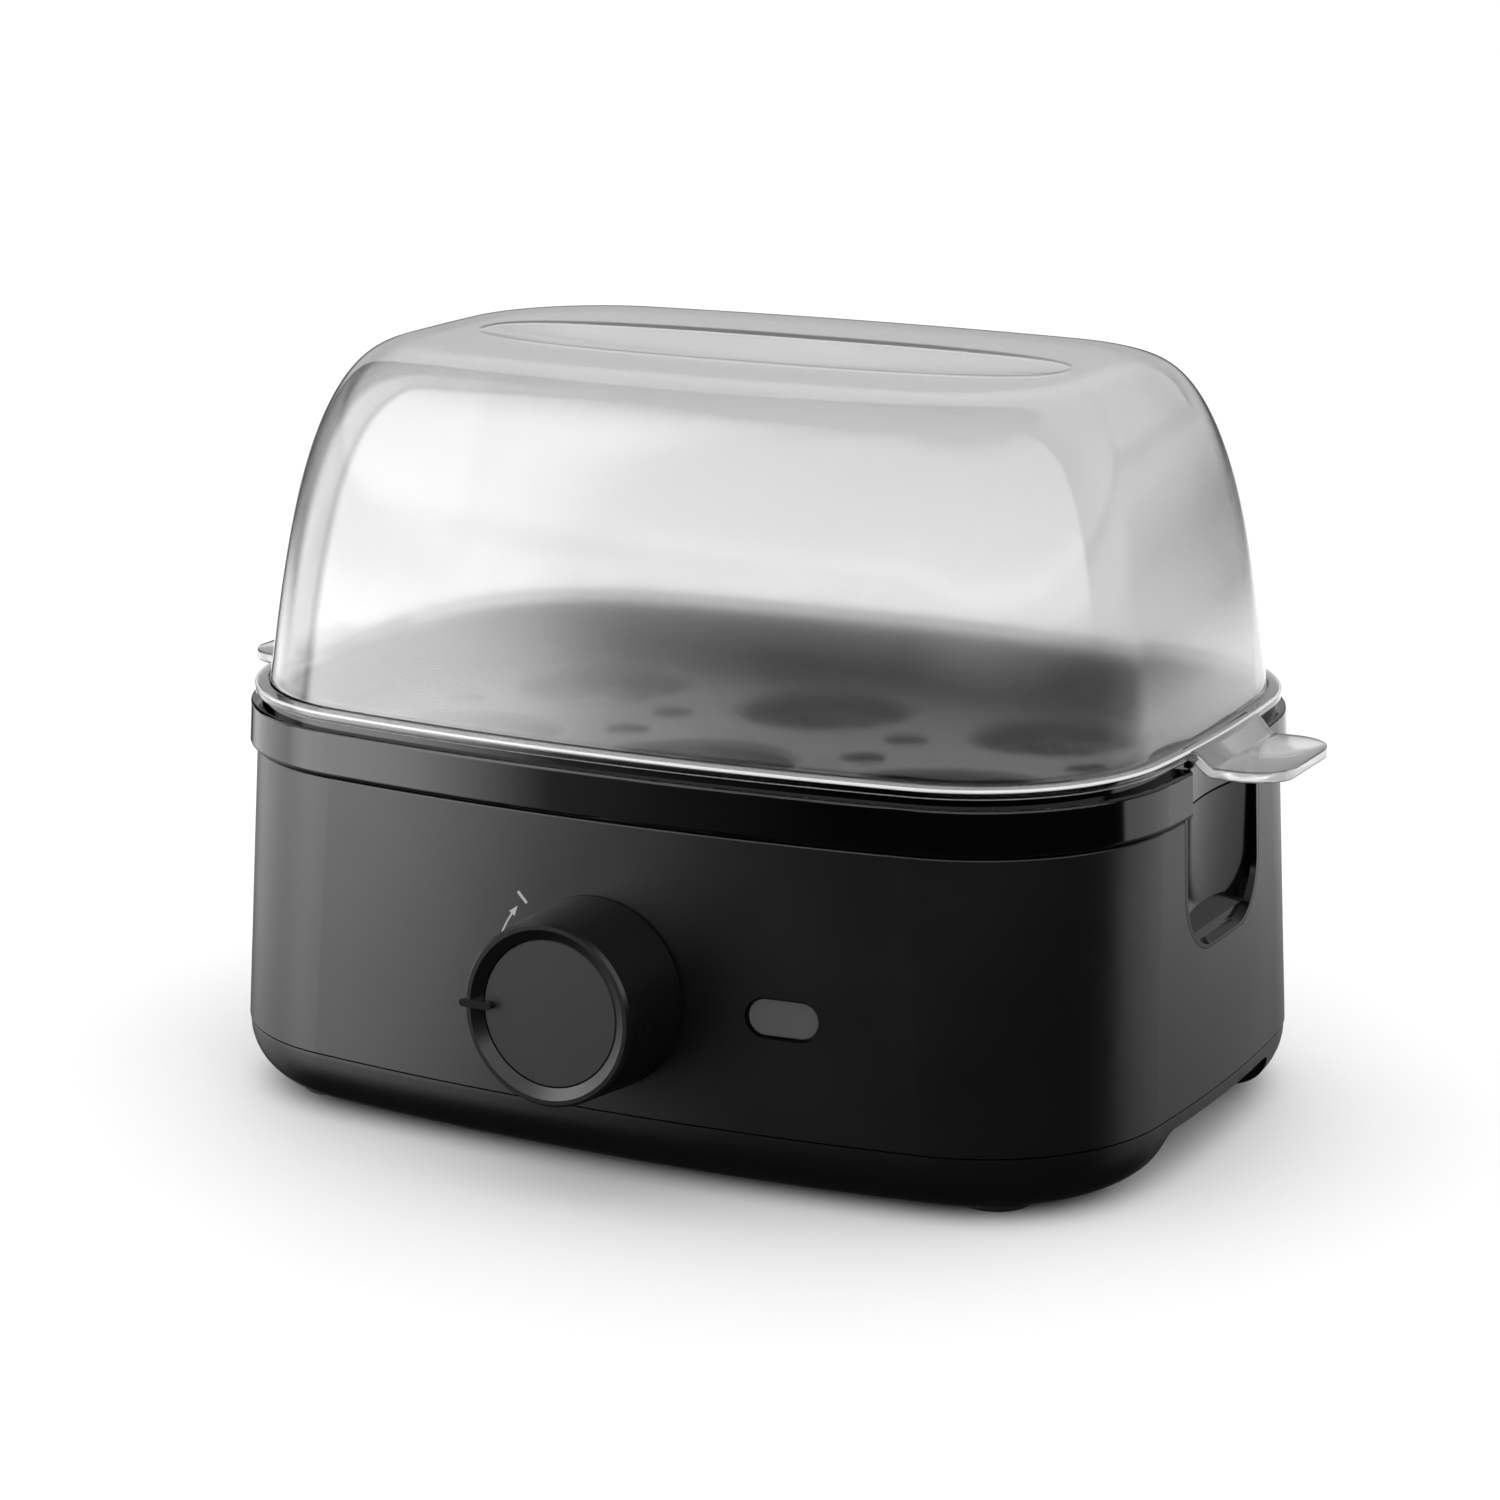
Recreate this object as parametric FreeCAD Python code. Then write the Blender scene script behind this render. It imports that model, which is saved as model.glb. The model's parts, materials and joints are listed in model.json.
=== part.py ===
"""Countertop egg cooker for six eggs: heated water dish, egg tray and clear dome in a black plastic housing.

Frame: millimetres, +Z up, +X to the right as seen from the front, front face towards -Y.
The origin is on the worktop, under the middle of the whole object's outline. The shapes are made about
the middle of the housing, and save() moves them back by HOUSING_Y, because the knob stands out in front.
"""
import FreeCAD, Part

import math
import os

V = FreeCAD.Vector
UP = V(0, 0, 1)

# ---- driving dimensions ------------------------------------------------------------------
# outline of the housing at the seam between shell and base: half length, half width, corner radius
HALF_LENGTH = 110.0
HALF_WIDTH = 78.7
CORNER_R = 42.0
END_R = 400.0  # crown radius of the two short sides
SIDE_R = 520.0  # crown radius of the two long sides

HOUSING_Y = 10.0  # from the origin back to the middle of the housing

# heights above the worktop
FOOT_DROP = 1.0  # feet stand proud of the base by this much
SEAM_Z = 15.1  # seam between base cover and shell
SHELL_TOP_Z = 76.8
COLLAR_Z0 = 77.3
COLLAR_Z1 = 87.1
BEAD_TOP_Z = 89.0  # the lid flange rests here
FLANGE_T = 2.0
LID_TOP_Z = 164.4

SHELL_TAPER_X = 2.1  # the shell is this much shorter per end at its top edge
SHELL_TAPER_Y = 2.3  # and this much narrower per side
SHELL_T = 2.5
BASE_T = 2.4
FLOOR_Z = FOOT_DROP + BASE_T  # inner floor of the base cover
BAY_TOP_Z = 11.8  # roof of the cord bay
LEDGE_Z = 74.1  # underside of the collar's inner ledge, which the dish is clamped to
WELL_WALL = 1.8  # wall of the collar round the tray well
LINER_GAP = 0.1  # between a pocket's liner and that wall
SEAM_GAP = 0.4
SPIGOT_TOP_Z = 81.0  # lip of the shell that plugs up into the collar

LID_T = 2.2
LID_ROOT = (104.5, 73.3, 41.0)  # dome outline where it meets the flange
LID_FLANGE = (107.6, 77.2, 44.5)
TAB_TOP_Z = 87.6
TAB_T = 2.4
TAB_REACH = 126.5
TAB_HALF_WIDTH = 17.7

TRAY_FLOOR_Z = 78.0  # top of the egg tray floor
TRAY_FLOOR_T = 2.0
EGG_PITCH_X = 58.0
EGG_ROW_Y = 30.0
EGG_HOLE_R = 19.5
SEAT_WALL = 1.8  # wall of each egg seat's ring
SEAT_DROP = 4.0  # how far a seat's ring hangs below the tray's plate
SEAT_FIT = 0.08  # clearance of a ring in its plate
TRAY_RIM_Z = 87.6
TRAY_RIM_T = 1.8
STEAM_HOLE_R = 5.0

KNOB_Z = 40.3
KNOB_BASE_R = 20.5
KNOB_FACE_R = 19.35
KNOB_REACH = 20.8
CAP_R = 15.6  # flat cap let into the knob
CAP_SEAT, CAP_FACE = 16.6, 19.2
LENS_X, LENS_Z = 42.4, 39.9
INLET_Z = 27.0

POCKET_HALF_WIDTH = 19.5
POCKET_BOTTOM_Z = 48.3
POCKET_CORNER_R = 12.0
POCKET_BACK_X = 103.6  # deepest point of the finger pocket
POCKET_BACK_R = 80.0
POCKET_WALL = 1.8

SCREW_SEAT_Z = 7.0  # the base screws' heads bear up against this level
SCREW_HOLE_R = 1.9  # clearance hole of a base screw
SCREW_WELL_R = 3.8  # the well that its head sits in
PILOT_R = 1.45  # hole that a screw bites in
DISH_HOLE_R = 1.7  # clearance hole of a dish or board screw
FOOT_R = 8.0
FOOT_SINK = 1.0  # how far a foot is let into the base

DISH_TOP_Z = 73.1
DISH_FLOOR_Z = 60.0
PLATE_Z = 58.4  # underside of the heater plate
TUBE_R = 3.25  # heating element

BOARD_Y = 14.0  # distance from the outer face back to the board
BOARD_T = 1.6
LENS_RECESS = 0.8

SCOOP_DEPTH, SCOOP_HALF_WIDTH, SCOOP_HALF_LENGTH = 3.0, 19.0, 68.0
VENT_HALF_LENGTH, VENT_HALF_WIDTH, VENT_Y = 6.0, 1.6, -6.0

DRAFT = math.atan(SHELL_TAPER_Y / (SHELL_TOP_Z - SEAM_Z))

os.makedirs("parts", exist_ok=True)


def save(name, shape):
    """Writes one sub-part and reports a solid that came out wrong."""
    shape = shape.removeSplitter() if len(shape.Solids) == 1 else shape
    shape.translate(V(0, HOUSING_Y, 0))
    if not shape.isValid() or not shape.Solids or shape.Volume <= 0:
        print("CHECK", name, "valid", shape.isValid(), "solids", len(shape.Solids))
    shape.exportStep("parts/%s.step" % name)
    print("%-20s solids %d  volume %.1f" % (name, len(shape.Solids), shape.Volume))


# ---- outlines ----------------------------------------------------------------------------
class Outline:
    """A rounded rectangle with crowned sides, centred on the origin."""

    def __init__(self, a, b, r, end_r=END_R, side_r=SIDE_R):
        self.a, self.b, self.r, self.end_r, self.side_r = a, b, r, end_r, side_r

    def inset(self, d):
        return Outline(self.a - d, self.b - d, self.r - d, self.end_r - d, self.side_r - d)

    def corner(self):
        """Centre of the corner arc in the +X +Y quadrant, and its two tangent points."""
        side_c, end_c = self.b - self.side_r, self.a - self.end_r
        r0, r1 = self.side_r - self.r, self.end_r - self.r
        gap = math.hypot(end_c, side_c)
        ux, uy = end_c / gap, -side_c / gap
        along = (r0 * r0 - r1 * r1 + gap * gap) / (2 * gap)
        off = math.sqrt(r0 * r0 - along * along)
        mx, my = along * ux, side_c + along * uy
        cx, cy = max(((mx + s * off * uy, my - s * off * ux) for s in (1, -1)), key=sum)
        to_side = V(cx, cy - side_c, 0).normalize()
        to_end = V(cx - end_c, cy, 0).normalize()
        c = V(cx, cy, 0)
        return c, c + to_side * self.r, c + to_end * self.r

    def wire(self, z=0.0):
        c, side_t, end_t = self.corner()
        mid = c + ((side_t - c).normalize() + (end_t - c).normalize()).normalize() * self.r
        arcs = []
        for sx, sy in ((1, 1), (-1, 1), (-1, -1), (1, -1)):
            s, m, e = (V(p.x * sx, p.y * sy, z) for p in (side_t, mid, end_t))
            first, last = (e, s) if sx * sy > 0 else (s, e)
            arcs.append(Part.Arc(first, m, last).toShape())
            if sx * sy > 0:
                arcs.append(Part.Arc(s, V(0, self.b * sy, z), V(-s.x, s.y, z)).toShape())
            else:
                arcs.append(Part.Arc(e, V(self.a * sx, 0, z), V(e.x, -e.y, z)).toShape())
        return Part.Wire(arcs)

    def prism(self, z0, z1):
        return Part.Face(self.wire(z0)).extrude(UP * (z1 - z0))

    def taper(self, z0, other, z1):
        return Part.makeLoft([self.wire(z0), other.wire(z1)], True, True)


def ring(outer, inner, z0, z1):
    return outer.prism(z0, z1).cut(inner.prism(z0 - 1, z1 + 1))


def box(x0, x1, y0, y1, z0, z1):
    return Part.makeBox(x1 - x0, y1 - y0, z1 - z0, V(x0, y0, z0))


def cyl(r, x, y, z0, z1):
    return Part.makeCylinder(r, z1 - z0, V(x, y, z0))


def fillet_where(shape, r, test):
    """Rounds the edges whose middle passes the test."""
    edges = [e for e in shape.Edges if e.Length > 0.05 and test(e, e.CenterOfMass, e.BoundBox)]
    return shape.makeFillet(r, edges)


def flat_at(z, tol=0.02):
    """Edge test: the whole edge lies at this height."""
    return lambda e, c, b: abs(b.ZMin - z) < tol and abs(b.ZMax - z) < tol


def revolve_y(points):
    """Turns a closed (radius, distance out) outline about the local Y axis; outward is -Y."""
    poly = [V(r, -d, 0) for r, d in points]
    return Part.Face(Part.makePolygon(poly + poly[:1])).revolve(V(), V(0, 1, 0), 360)


def stadium(half_length, r, y0, y1):
    """A slot-shaped plate lying across local Y, from y0 to y1."""
    straight = half_length - r
    plate = Part.makeBox(2 * straight, y1 - y0, 2 * r, V(-straight, y0, -r))
    for s in (-1, 1):
        plate = plate.fuse(Part.makeCylinder(r, y1 - y0, V(s * straight, y0, 0), V(0, 1, 0)))
    return plate.removeSplitter()


SEAM = Outline(HALF_LENGTH, HALF_WIDTH, CORNER_R)
SHELL_TOP = Outline(HALF_LENGTH - SHELL_TAPER_X, HALF_WIDTH - SHELL_TAPER_Y, CORNER_R + 2.5)
COLLAR_LOW = Outline(109.4, 78.0, 45.5)
COLLAR_HIGH = Outline(108.9, 77.7, 45.5)
BEAD = Outline(106.4, 76.0, 43.3)
WELL = Outline(101.2, 70.8, 38.1)  # opening of the collar, where the tray drops in


def front_frame(x, z):
    """Placement on the outer front face: local -Y points straight out of the surface."""
    half_width = HALF_WIDTH - SHELL_TAPER_Y * (z - SEAM_Z) / (SHELL_TOP_Z - SEAM_Z)
    y = -half_width + SIDE_R - math.sqrt(SIDE_R**2 - x * x)
    turn = FreeCAD.Rotation(UP, math.degrees(math.asin(x / SIDE_R)))
    lean = FreeCAD.Rotation(V(1, 0, 0), -math.degrees(DRAFT))
    return FreeCAD.Placement(V(x, y, z), turn.multiply(lean))


def rear_frame(z):
    """The same on the middle of the rear face."""
    half_turn = FreeCAD.Placement(V(), FreeCAD.Rotation(UP, 180))
    return half_turn.multiply(front_frame(0, z))


def placed(shape, frame):
    out = shape.copy()
    out.transformShape(frame.toMatrix())
    return out


KNOB_FRAME = front_frame(0, KNOB_Z)
LENS_FRAME = front_frame(LENS_X, LENS_Z)
INLET_FRAME = rear_frame(INLET_Z)
SWITCH_BORE_R = 3.08
SHAFT_R = 3.0



def four_corners(x, y):
    return [(sx * x, sy * y) for sx in (-1, 1) for sy in (-1, 1)]


BASE_SCREWS = four_corners(58.0, 59.0)
DISH_SCREWS = four_corners(45.0, 66.6)
STANDOFFS = four_corners(72.0, 40.0)
BOARD_HOLES = [(x, z) for x in (-24, 47) for z in (-14, 12)]
FEET = {
    "foot_front_left": (-80, -52.5),
    "foot_front_right": (80, -52.5),
    "foot_rear_left": (-80, 52.5),
    "foot_rear_right": (80, 52.5),
}
CLEATS = {"cord_cleat_left": -52.0, "cord_cleat_right": 52.0}


# ---- finger pockets ----------------------------------------------------------------------
def pocket_wire(grow, x):
    """U outline of a finger pocket in the plane at this x, open at the top."""
    w, z0, top = POCKET_HALF_WIDTH + grow, POCKET_BOTTOM_Z - grow, COLLAR_Z1 + 6
    r = POCKET_CORNER_R + grow
    k = r * (1 - math.sqrt(0.5))
    return Part.Wire(
        [
            Part.LineSegment(V(x, -w, top), V(x, -w, z0 + r)).toShape(),
            Part.Arc(V(x, -w, z0 + r), V(x, -w + k, z0 + k), V(x, -w + r, z0)).toShape(),
            Part.LineSegment(V(x, -w + r, z0), V(x, w - r, z0)).toShape(),
            Part.Arc(V(x, w - r, z0), V(x, w - k, z0 + k), V(x, w, z0 + r)).toShape(),
            Part.LineSegment(V(x, w, z0 + r), V(x, w, top)).toShape(),
            Part.LineSegment(V(x, w, top), V(x, -w, top)).toShape(),
        ]
    )


def pocket_block(grow):
    """The pocket's space grown by a wall: U-shaped, with a hollowed back and a sloping floor."""
    back_x = POCKET_BACK_X - grow
    block = Part.Face(pocket_wire(grow, 96.0)).extrude(V(20, 0, 0))
    scoop = Part.makeCylinder(POCKET_BACK_R, 60, V(back_x + POCKET_BACK_R, 0, 36))
    lean = 5.5
    floor_cut = Part.Face(
        Part.makePolygon(
            [
                V(96, -30, POCKET_BOTTOM_Z - grow - 1),
                V(110.5, -30, POCKET_BOTTOM_Z - grow - 1),
                V(back_x, -30, POCKET_BOTTOM_Z - grow + lean),
                V(96, -30, POCKET_BOTTOM_Z - grow + lean),
                V(96, -30, POCKET_BOTTOM_Z - grow - 1),
            ]
        )
    ).extrude(V(0, 60, 0))
    return block.common(scoop).cut(floor_cut)


def pocket_space():
    """What is cut away, with the opening flared by a soft lip."""
    lip = Part.makeLoft([pocket_wire(0.0, 107.0), pocket_wire(2.2, 111.0)], True, True)
    return pocket_block(0.0).fuse(lip)


def both_ends(shape):
    return [shape, shape.mirror(V(), V(1, 0, 0))]


# ---- housing -----------------------------------------------------------------------------
def base_channel(grow):
    """The cord bay: a channel along the underside, open at both ends."""
    low, high, top, r = 38.0 + grow, 29.0 + grow, BAY_TOP_Z + grow, 5.0
    pts = [V(-120, -low, -2), V(-120, -high, top), V(-120, high, top), V(-120, low, -2)]
    bay = Part.Face(Part.makePolygon(pts + pts[:1])).extrude(V(240, 0, 0))
    return fillet_where(bay, r, lambda e, c, b: e.Length > 200 and c.z > 5)


def base_cover():
    t, round_r = BASE_T, 13.0
    outer = SEAM.inset(0.2).prism(FOOT_DROP, SEAM_Z - SEAM_GAP)
    outer = fillet_where(outer, round_r, flat_at(FOOT_DROP))
    inner = SEAM.inset(0.2 + t).prism(FOOT_DROP + t, SEAM_Z + 1)
    inner = fillet_where(inner, round_r - t, flat_at(FOOT_DROP + t))
    shape = outer.cut(inner.cut(base_channel(t))).cut(base_channel(0))
    tongue = ring(SEAM.inset(SHELL_T + 0.3), SEAM.inset(SHELL_T + 1.9), SEAM_Z - 2.4, SEAM_Z + 2.2)
    shape = shape.fuse(tongue)
    for x, y in BASE_SCREWS:
        shape = shape.fuse(cyl(5.0, x, y, FOOT_DROP + 0.5, SEAM_Z))
    for x, y in BASE_SCREWS:
        shape = shape.cut(cyl(SCREW_HOLE_R, x, y, 0, 20)).cut(cyl(SCREW_WELL_R, x, y, 0, SCREW_SEAT_Z))
    for x, y in FEET.values():
        shape = shape.cut(cyl(FOOT_R + 0.1, x, y, 0, FOOT_DROP + FOOT_SINK))
    for x in CLEATS.values():
        shape = shape.cut(cyl(SCREW_HOLE_R, x, 0, 10, 20))
    return shape


def foot(x, y):
    pad = cyl(FOOT_R, x, y, 0, FOOT_DROP + FOOT_SINK)
    return fillet_where(pad, 0.8, flat_at(0))


def cord_cleat(x):
    """Mushroom post for winding the cord on, screwed up into the bay's roof."""
    post = cyl(8.0, x, 0, 4.6, BAY_TOP_Z).fuse(cyl(13.5, x, 0, 3.0, 4.8))
    post = fillet_where(post.removeSplitter(), 0.7, flat_at(3.0))
    return post.cut(cyl(SCREW_HOLE_R, x, 0, 0, 20)).cut(cyl(SCREW_WELL_R, x, 0, 0, SCREW_SEAT_Z))


def screw(x, y, z_head, head_r, head_h, shank_r, length, down=False):
    """A pan head screw on a vertical axis; its shank points up unless down is set."""
    s = -1 if down else 1
    head = Part.makeCylinder(head_r, head_h, V(x, y, z_head), V(0, 0, s))
    shank = Part.makeCylinder(shank_r, length, V(x, y, z_head + s * head_h), V(0, 0, s))
    slot = Part.makeBox(head_r * 1.3, 0.9, 0.9, V(x - head_r * 0.65, y - 0.45, z_head - (0.9 if down else 0)))
    return head.fuse(shank).cut(slot).removeSplitter()


def base_screws():
    head = SCREW_SEAT_Z - 2.4
    shapes = [screw(x, y, head, 3.4, 2.4, 1.4, 19.0) for x, y in BASE_SCREWS]
    shapes += [screw(x, 0, head, 3.4, 2.4, 1.4, 9.6) for x in CLEATS.values()]
    return Part.Compound(shapes)


def shell_inside():
    """The space that the shell's walls enclose."""
    return SEAM.inset(SHELL_T).taper(SEAM_Z, SHELL_TOP.inset(SHELL_T), SHELL_TOP_Z)


def shell_posts():
    """Four screw posts that stand on the base cover, each ribbed out to the shell's wall."""
    shapes = []
    for x, y in BASE_SCREWS:
        low, high = sorted((y, math.copysign(HALF_WIDTH, y)))
        rib = box(x - 1.2, x + 1.2, low, high, 24.0, 46.0)
        post = cyl(4.5, x, y, SEAM_Z + 0.1, 46.0).fuse(rib)
        shapes.append(post.common(shell_inside()).cut(cyl(PILOT_R, x, y, 10, 34)).removeSplitter())
    return Part.Compound(shapes)


def body_shell():
    shape = SEAM.taper(SEAM_Z, SHELL_TOP, SHELL_TOP_Z)
    shape = fillet_where(shape, 0.6, flat_at(SHELL_TOP_Z))
    spigot = SHELL_TOP.inset(1.3).prism(SHELL_TOP_Z - 2, SPIGOT_TOP_Z)
    shape = shape.fuse(spigot)
    shape = shape.cut(shell_inside()).cut(SHELL_TOP.inset(SHELL_T).prism(SHELL_TOP_Z - 0.01, 90))
    for liner in both_ends(pocket_block(POCKET_WALL + 0.15)):
        shape = shape.cut(liner)
    knob_hole = Part.makeCylinder(5.0, 12, V(0, -6, 0), V(0, 1, 0))
    shape = shape.cut(placed(knob_hole, KNOB_FRAME))
    shape = shape.cut(placed(stadium(8.25, 4.35, -6, 6), LENS_FRAME))
    inlet = Part.makeCylinder(5.4, 12, V(0, -6, 0), V(0, 1, 0))
    return shape.cut(placed(inlet, INLET_FRAME))


def pocket_liner():
    """Glossy wall of the right-hand finger pocket, below the collar."""
    zone = SEAM.taper(SEAM_Z, SHELL_TOP, SHELL_TOP_Z)
    well_wall = WELL.inset(-WELL_WALL - LINER_GAP).prism(LEDGE_Z - LINER_GAP, COLLAR_Z1)
    return pocket_block(POCKET_WALL).common(zone).cut(pocket_space()).cut(well_wall)


def collar():
    """Glossy rim of the housing, notched at each end over the finger pockets."""
    outer = COLLAR_LOW.taper(COLLAR_Z0, COLLAR_HIGH, COLLAR_Z1)
    outer = fillet_where(outer, 0.7, flat_at(COLLAR_Z1))
    outer = fillet_where(outer, 0.9, flat_at(COLLAR_Z0))
    shape = outer.fuse(BEAD.prism(COLLAR_Z1 - 1, BEAD_TOP_Z))
    under = ring(COLLAR_HIGH.inset(2.0), WELL.inset(-WELL_WALL), COLLAR_Z0 - 1, SPIGOT_TOP_Z + 0.3)
    shape = shape.cut(under)
    ledge_high = TRAY_FLOOR_Z - TRAY_FLOOR_T
    shape = shape.fuse(WELL.inset(-WELL_WALL).prism(LEDGE_Z, COLLAR_Z1 - 0.1))
    for liner in both_ends(pocket_block(POCKET_WALL)):
        shape = shape.fuse(liner.common(outer))
    shape = shape.cut(WELL.prism(ledge_high, 100)).cut(WELL.inset(4.2).prism(60, 100))
    for space in both_ends(pocket_space()):
        shape = shape.cut(space)
    for x, y in DISH_SCREWS:
        shape = shape.cut(cyl(PILOT_R, x, y, 70, ledge_high - 0.4))
    return shape


# ---- heating -----------------------------------------------------------------------------
def heating_dish():
    """Pressed pan that holds the water; its flange is clamped under the collar's ledge."""
    rim, wall = WELL.inset(0.3), WELL.inset(5.2)
    tub = wall.prism(DISH_FLOOR_Z, DISH_TOP_Z)
    tub = fillet_where(tub, 7.0, flat_at(DISH_FLOOR_Z))
    hollow = wall.inset(1.2).prism(DISH_FLOOR_Z + 1.4, DISH_TOP_Z + 1)
    hollow = fillet_where(hollow, 5.8, flat_at(DISH_FLOOR_Z + 1.4))
    shape = tub.fuse(rim.prism(DISH_TOP_Z - 1.0, DISH_TOP_Z)).cut(hollow)
    for x, y in DISH_SCREWS:
        shape = shape.cut(cyl(DISH_HOLE_R, x, y, 60, 80))
    return shape


def dish_seal():
    seal = ring(WELL.inset(0.6), WELL.inset(4.4), DISH_TOP_Z, LEDGE_Z)
    for x, y in DISH_SCREWS:
        seal = seal.cut(cyl(DISH_HOLE_R, x, y, 60, 80))
    return seal


def dish_screws():
    return Part.Compound([screw(x, y, 70.3, 2.4, 1.8, 1.4, 3.2) for x, y in DISH_SCREWS])


def heater_plate():
    plate = Outline(74.0, 48.0, 24.0).prism(PLATE_Z, DISH_FLOOR_Z)
    return fillet_where(plate, 0.5, flat_at(PLATE_Z))


def heating_element():
    """Sheathed heater bent into a long loop, with its two cold pins at the front."""
    z, w, half, gap, drop = PLATE_Z - TUBE_R, 34.0, 26.0, 12.0, 8.0
    path = Part.Wire(
        [
            Part.LineSegment(V(gap, -w, z), V(half, -w, z)).toShape(),
            Part.Arc(V(half, -w, z), V(half + w, 0, z), V(half, w, z)).toShape(),
            Part.LineSegment(V(half, w, z), V(-half, w, z)).toShape(),
            Part.Arc(V(-half, w, z), V(-half - w, 0, z), V(-half, -w, z)).toShape(),
            Part.LineSegment(V(-half, -w, z), V(-gap, -w, z)).toShape(),
        ]
    )
    start = Part.Wire(Part.makeCircle(TUBE_R, V(gap, -w, z), V(1, 0, 0)))
    tube = path.makePipeShell([start], True, False)
    for s in (-1, 1):
        tube = tube.fuse(Part.makeSphere(TUBE_R, V(s * gap, -w, z)))
        tube = tube.fuse(cyl(1.6, s * gap, -w, z - drop, z))
    return tube


def thermostat():
    can = cyl(9.0, 0, 0, 51.4, PLATE_Z)
    can = fillet_where(can, 1.0, flat_at(51.4))
    for s in (-1, 1):
        can = can.fuse(box(s * 5 - 3.2, s * 5 + 3.2, -0.4, 0.4, 45.5, 51.6))
    return can


def thermostat_bracket():
    """Sprung strap that presses the thermostat on the heater plate."""
    strap = box(-24, 24, -5, 5, 50.4, 51.4).cut(box(-9.2, 9.2, -1.2, 1.2, 50, 52))
    for s in (-1, 1):
        x0, x1 = sorted((s * 24.0, s * 23.0))
        strap = strap.fuse(box(x0, x1, -5, 5, 50.4, PLATE_Z))
        f0, f1 = sorted((s * 23.0, s * 30.0))
        strap = strap.fuse(box(f0, f1, -5, 5, PLATE_Z - 1.0, PLATE_Z))
    return strap


def thermal_fuse():
    body = Part.makeCylinder(2.0, 14, V(-7, 20, PLATE_Z - 2.0), V(1, 0, 0))
    for s in (-1, 1):
        x = -7 if s < 0 else 7
        body = body.fuse(Part.makeCylinder(0.5, 9, V(x, 20, PLATE_Z - 2.0), V(s, 0, 0)))
    return body


def heat_shield():
    """Bright pan that keeps the heat off the plastic base."""
    out = Outline(88.0, 56.0, 26.0)
    pan = out.prism(44.0, 50.0)
    pan = fillet_where(pan, 2.0, flat_at(44.0))
    hollow = out.inset(0.8).prism(44.8, 51.0)
    hollow = fillet_where(hollow, 1.2, flat_at(44.8))
    pan = pan.cut(hollow)
    for x, y in STANDOFFS:
        pan = pan.cut(cyl(1.4, x, y, 40, 50))
    return pan


def shield_standoffs():
    """Shouldered spacers between heater plate and shield, riveted through the shield."""
    posts = [cyl(2.4, x, y, 44.8, PLATE_Z if abs(x) < 66 else DISH_FLOOR_Z) for x, y in STANDOFFS]
    posts = [p.fuse(cyl(1.35, x, y, 43.2, 45)) for p, (x, y) in zip(posts, STANDOFFS)]
    posts = [p.fuse(cyl(2.4, x, y, 42.6, 43.9)) for p, (x, y) in zip(posts, STANDOFFS)]
    return Part.Compound([p.removeSplitter() for p in posts])


# ---- controls: made in the local frame of the front face, where outward is -Y -----------------
def rotary_switch():
    body = Part.makeBox(24, BOARD_Y - 3.4, 24, V(-12, 3.4, -12))
    body = fillet_where(body, 1.0, lambda e, c, b: abs(e.tangentAt(e.FirstParameter).y) > 0.9)
    bush = Part.makeCylinder(4.7, 4.0, V(0, -0.1, 0), V(0, 1, 0))
    bore = Part.makeCylinder(SWITCH_BORE_R, 12, V(0, -1, 0), V(0, 1, 0))
    return placed(body.fuse(bush).cut(bore).removeSplitter(), KNOB_FRAME)


def knob_shaft():
    """Control shaft with a flat, from inside the switch to the knob's hub."""
    shaft = Part.makeCylinder(SHAFT_R, 26.0, V(0, -16.4, 0), V(0, 1, 0))
    flat = Part.makeBox(6, 12.4, 3, V(-3, -16.4, 1.9))
    return placed(shaft.cut(flat), KNOB_FRAME)


def knob():
    """Hollow tapered knob with a raised rim, a bevel down to the cap, and a hub on the shaft."""
    skin = [
        (KNOB_BASE_R, 0.5),
        (KNOB_FACE_R, KNOB_REACH - 0.8),
        (KNOB_FACE_R - 0.6, KNOB_REACH),
        (KNOB_FACE_R - 1.5, KNOB_REACH),
        (CAP_R, CAP_FACE),
        (CAP_R, CAP_SEAT),
        (0, CAP_SEAT),
        (0, CAP_SEAT - 2.0),
        (KNOB_FACE_R - 2.3, CAP_SEAT - 2.0),
        (KNOB_BASE_R - 1.9, 0.5),
    ]
    shape = revolve_y(skin)
    hub = Part.makeCylinder(5.4, 14.5, V(0, -15.5, 0), V(0, 1, 0))
    shape = shape.fuse(hub)
    for turn in (45, 135, 225, 315):
        rib = Part.makeBox(KNOB_BASE_R - 3.2, 8.0, 1.4, V(0, -15.0, -0.7))
        rib.rotate(V(), V(0, 1, 0), turn)
        shape = shape.fuse(rib)
    bore = Part.makeCylinder(SHAFT_R, 30, V(0, -16.4, 0), V(0, 1, 0))
    flat = Part.makeBox(6, 12.4, 3, V(-3, -16.4, 1.9))
    return placed(shape.cut(bore.cut(flat)).cut(pointer_bar()).removeSplitter(), KNOB_FRAME)


def pointer_bar():
    """Small bar across the knob's rim at nine o'clock."""
    half = 0.85
    bar = Part.makeBox(7.4, 3.9, 2 * half, V(-20.4, -(KNOB_REACH + 0.1), -half))
    return fillet_where(bar, 0.75, lambda e, c, b: abs(e.tangentAt(e.FirstParameter).y) > 0.9)


def knob_pointer():
    return placed(pointer_bar().cut(knob_cap_disc()), KNOB_FRAME)


def knob_cap_disc():
    r, edge = CAP_R - 0.1, 0.3
    side = [(0, CAP_SEAT), (r, CAP_SEAT), (r, CAP_FACE - edge)]
    return revolve_y(side + [(r - edge, CAP_FACE), (0, CAP_FACE)])


def knob_cap():
    return placed(knob_cap_disc(), KNOB_FRAME)


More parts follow.
